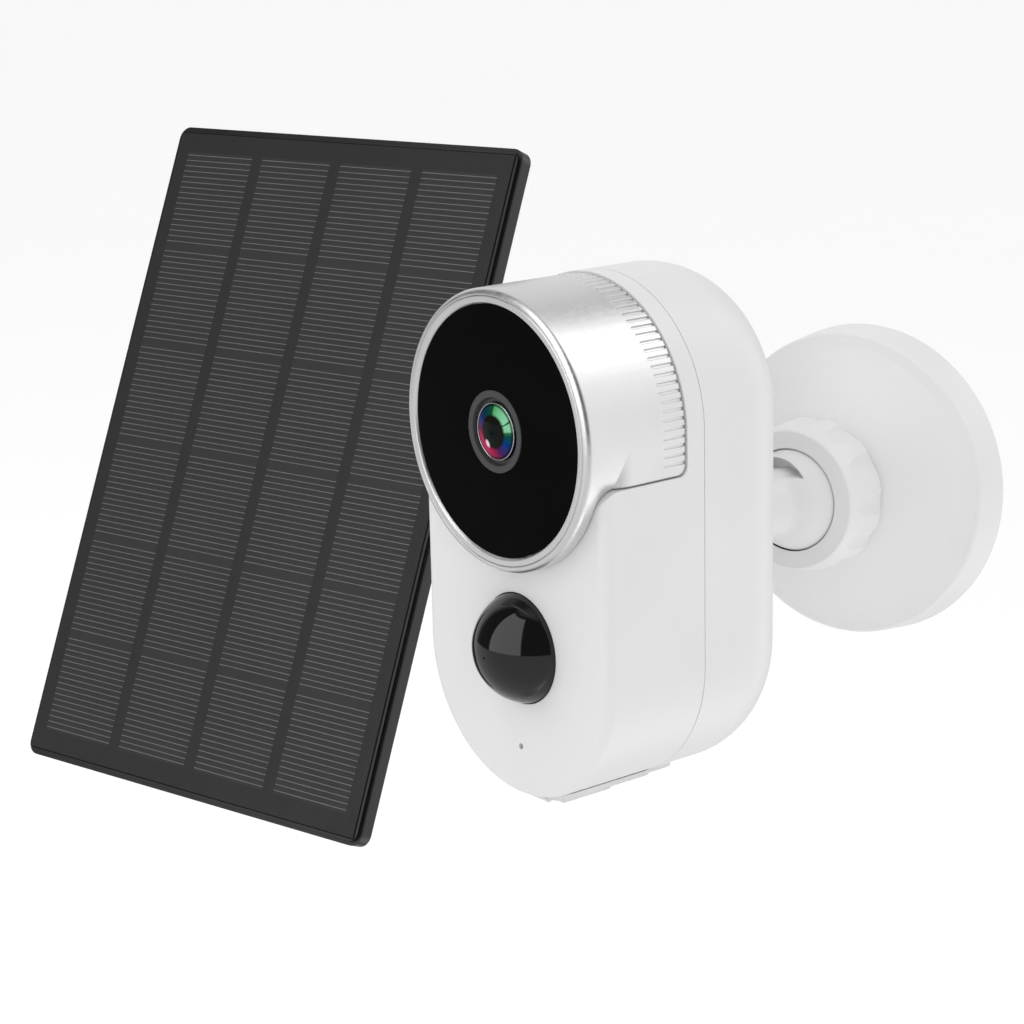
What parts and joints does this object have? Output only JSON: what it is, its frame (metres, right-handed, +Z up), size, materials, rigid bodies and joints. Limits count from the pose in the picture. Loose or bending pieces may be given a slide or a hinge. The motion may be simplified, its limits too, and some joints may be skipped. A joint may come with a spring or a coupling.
{
  "type": "solar-powered security camera",
  "caption": "Pill-shaped battery security camera on a wall ball joint, with a tilting solar panel on its own wall bracket beside it.",
  "frame": {"origin": "centre of the camera's round base, on the wall's face", "axes": "+Y into the wall, +Z up, +X to the right as seen from the front"},
  "size_m": [0.2177, 0.1123, 0.1486],
  "materials": {
    "white_housing": "satin white moulded plastic",
    "white_mount": "satin white moulded plastic",
    "silver_trim": "satin metallised, with a grip edge of fine ribs",
    "black_window": "deep gloss black, infrared-clear",
    "lens_trim": "dark grey satin",
    "lens_coating": "coated glass with green and magenta reflections",
    "dark_dome": "smoked gloss black dome",
    "black_inner": "matte black moulded plastic",
    "circuit_board": "green solder mask",
    "chip": "matte black moulded epoxy",
    "lamp": "dark clear epoxy",
    "steel": "zinc plated steel",
    "brass": "bright brass",
    "battery_sleeve": "shrink-wrapped sleeve",
    "antenna_film": "amber polyimide film",
    "grey_rubber": "soft grey silicone",
    "white_rubber": "soft white silicone",
    "button_plastic": "light grey plastic",
    "solar_cells": "dark textured laminate over silicon cells with fine pale grid lines",
    "black_frame": "gloss black moulded plastic",
    "black_tray": "matte black moulded plastic",
    "black_seal": "matte black foam rubber",
    "bracket_black": "black powder coat"
  },
  "bodies": {
    "wall_mounts": {"wall_base": "white_mount", "base_cover": "white_mount", "bracket_plate": "bracket_black", "turn_pin": "steel"},
    "clamp_nut": {"clamp_nut": "white_mount"},
    "ball_seat": {"ball_seat": "black_inner"},
    "ball_stem": {"ball_stem": "white_mount", "tripod_stud": "steel"},
    "camera_head": {"front_shell": "white_housing", "rear_shell": "white_housing", "shell_gasket": "grey_rubber", "shell_screws": "steel", "tripod_insert": "brass", "drum_cap": "silver_trim", "bezel_ring": "silver_trim", "front_window": "black_window", "lens_surround": "lens_trim", "lens_glass": "lens_coating", "lens_barrel": "black_inner", "lens_holder": "black_inner", "image_sensor": "chip", "sensor_board": "circuit_board", "lamp_board": "circuit_board", "infrared_lamps": "lamp", "pir_dome": "dark_dome", "pir_sensor": "steel", "pir_board": "circuit_board", "microphone": "steel", "speaker": "black_inner", "main_board": "circuit_board", "board_chips": "chip", "board_screws": "steel", "battery_left": "battery_sleeve", "battery_right": "battery_sleeve", "battery_contacts": "steel", "battery_holder": "black_inner", "wifi_antenna": "antenna_film", "port_board": "circuit_board", "usb_socket": "steel", "card_socket": "steel", "button_switches": "chip"},
    "power_button": {"power_button": "button_plastic"},
    "reset_button": {"reset_button": "button_plastic"},
    "memory_card": {"memory_card": "chip"},
    "port_cover": {"port_cover": "white_rubber"},
    "bracket_arm": {"bracket_arm": "bracket_black", "tilt_bolt": "steel"},
    "solar_panel": {"cell_plate": "solar_cells", "panel_frame": "black_frame", "panel_seal": "black_seal", "panel_back": "black_tray", "panel_screws": "steel", "charge_board": "circuit_board", "cable_outlet": "black_seal", "panel_mount": "bracket_black", "mount_screws": "steel"},
    "clamp_knob": {"clamp_knob": "bracket_black"}
  },
  "joints": [
    {"name": "nut_turn", "type": "hinge", "parent": "wall_mounts", "child": "clamp_nut", "pos_m": [0, -0.0255, 0], "axis": [0, 1, 0], "range_deg": [0, 90]},
    {"name": "ball_swivel", "type": "hinge", "parent": "wall_mounts", "child": "ball_seat", "pos_m": [0, -0.0255, 0], "axis": [0, 1, 0], "range_deg": [-90, 90]},
    {"name": "ball_tilt", "type": "hinge", "parent": "ball_seat", "child": "ball_stem", "pos_m": [0, -0.0255, 0], "axis": [0, 0, 1], "range_deg": [-5, 36]},
    {"name": "camera_spin", "type": "hinge", "parent": "ball_stem", "child": "camera_head", "pos_m": [0, -0.0255, 0], "axis": [0.2094, 0.977, 0.0401], "range_deg": [-90, 90]},
    {"name": "port_cover_hinge", "type": "hinge", "parent": "camera_head", "child": "port_cover", "pos_m": [-0.01568, -0.09509, -0.0505], "axis": [-0.9778, 0.209, 0.0157], "range_deg": [0, 100]},
    {"name": "power_button_press", "type": "slide", "parent": "camera_head", "child": "power_button", "axis": [0.0069, -0.0425, 0.9991], "range_m": [0, 0.0006], "stiffness_N_per_m": 400, "springref_m": -0.0004},
    {"name": "reset_button_press", "type": "slide", "parent": "camera_head", "child": "reset_button", "axis": [0.0069, -0.0425, 0.9991], "range_m": [0, 0.0005], "stiffness_N_per_m": 400, "springref_m": -0.0004},
    {"name": "memory_card_slide", "type": "slide", "parent": "camera_head", "child": "memory_card", "axis": [-0.0069, 0.0425, -0.9991], "range_m": [0, 0.002]},
    {"name": "panel_turn", "type": "hinge", "parent": "wall_mounts", "child": "bracket_arm", "pos_m": [-0.1299, -0.013, -0.00706], "axis": [0, 0, 1], "range_deg": [-10, 10]},
    {"name": "panel_tilt", "type": "hinge", "parent": "bracket_arm", "child": "solar_panel", "pos_m": [-0.1299, -0.0271, -0.00706], "axis": [1, 0, 0], "range_deg": [-8, 21]},
    {"name": "knob_turn", "type": "hinge", "parent": "bracket_arm", "child": "clamp_knob", "pos_m": [-0.1299, -0.0271, -0.00706], "axis": [1, 0, 0], "range_deg": [0, 180]}
  ]
}
